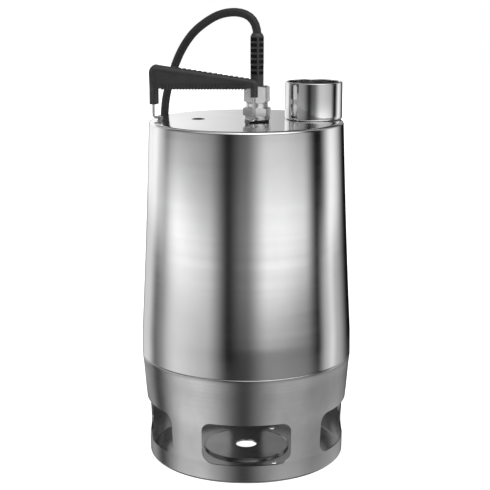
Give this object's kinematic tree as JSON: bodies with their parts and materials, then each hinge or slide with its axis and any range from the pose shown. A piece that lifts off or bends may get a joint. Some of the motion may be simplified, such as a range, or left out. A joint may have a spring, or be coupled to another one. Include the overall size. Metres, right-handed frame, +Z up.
{
  "type": "submersible sump pump",
  "caption": "Upright submersible drainage pump with a tapered stainless sleeve, windowed strainer base, top discharge socket, bail handle and mains cable.",
  "frame": {"origin": "centre of the standing face, on the shaft axis", "axes": "+Z up along the shaft, +X towards the discharge socket, -Y the front with the handle"},
  "size_m": [0.2446, 0.467, 0.52],
  "materials": {
    "polished_stainless": "polished, fine vertical reflections",
    "satin_stainless": "satin",
    "plain_stainless": "bright machined",
    "bearing_steel": "ground",
    "grey_casting": "painted casting",
    "electrical_steel": "stacked laminations",
    "copper_winding": "lacquered wire",
    "black_rubber": "matt",
    "cable_rubber": "matt, slightly ribbed",
    "grip_plastic": "moulded, fine grain",
    "black_plastic": "moulded",
    "carbon_ring": "lapped carbon",
    "ceramic_ring": "lapped ceramic",
    "brass": "bright"
  },
  "bodies": {
    "casing": {"cable": "cable_rubber", "cable_coil": "cable_rubber", "cable_tail": "cable_rubber", "capacitor": "black_plastic", "coil_tie_1": "black_rubber", "coil_tie_2": "black_rubber", "cover_seal": "black_rubber", "discharge_socket": "polished_stainless", "gland_body": "plain_stainless", "gland_gasket": "black_rubber", "gland_grommet": "black_rubber", "gland_nut": "plain_stainless", "handle_eye_left": "plain_stainless", "handle_eye_right": "plain_stainless", "housing_screw_1": "plain_stainless", "housing_screw_2": "plain_stainless", "housing_screw_3": "plain_stainless", "housing_screw_4": "plain_stainless", "lower_bearing_outer_ring": "bearing_steel", "lower_end_shield": "grey_casting", "lower_winding": "copper_winding", "motor_housing": "satin_stainless", "motor_lead": "black_rubber", "motor_top_cover": "grey_casting", "oil_seal": "black_rubber", "plug_body": "black_plastic", "plug_pin_left": "brass", "plug_pin_right": "brass", "pump_housing": "grey_casting", "seal_carrier": "grey_casting", "seal_seat": "ceramic_ring", "sleeve": "polished_stainless", "sleeve_seal": "black_rubber", "stator_core": "electrical_steel", "strain_boot": "black_rubber", "strainer_base": "satin_stainless", "strainer_screw_1": "plain_stainless", "strainer_screw_2": "plain_stainless", "strainer_screw_3": "plain_stainless", "suction_cover": "plain_stainless", "upper_bearing_outer_ring": "bearing_steel", "upper_end_shield": "grey_casting", "upper_winding": "copper_winding", "vent_valve": "black_plastic"},
    "rotor": {"shaft": "bearing_steel", "rotor_core": "electrical_steel", "impeller": "plain_stainless", "impeller_nut": "plain_stainless", "lower_bearing_inner_ring": "bearing_steel", "upper_bearing_inner_ring": "bearing_steel", "seal_face": "carbon_ring", "seal_collar": "plain_stainless", "seal_spring": "plain_stainless"},
    "bearing_cages": {"lower_bearing_cage": "brass", "upper_bearing_cage": "brass"},
    "handle": {"handle_grip": "grip_plastic", "handle_wire": "plain_stainless"}
  },
  "joints": [
    {"name": "rotor_spin", "type": "hinge", "parent": "casing", "child": "rotor", "pos_m": [0, 0, 0.2], "axis": [0, 0, 1], "continuous": true},
    {"name": "cage_spin", "type": "hinge", "parent": "casing", "child": "bearing_cages", "pos_m": [0, 0, 0.2], "axis": [0, 0, 1], "continuous": true},
    {"name": "handle_swing", "type": "hinge", "parent": "casing", "child": "handle", "pos_m": [-0.1052, -0.0045, 0.3985], "axis": [0.9672, -0.2541, 0], "range_deg": [-3.5, 76]}
  ],
  "couplings": [
    {"joint": "cage_spin", "follows": "rotor_spin", "ratio": 0.3973}
  ]
}
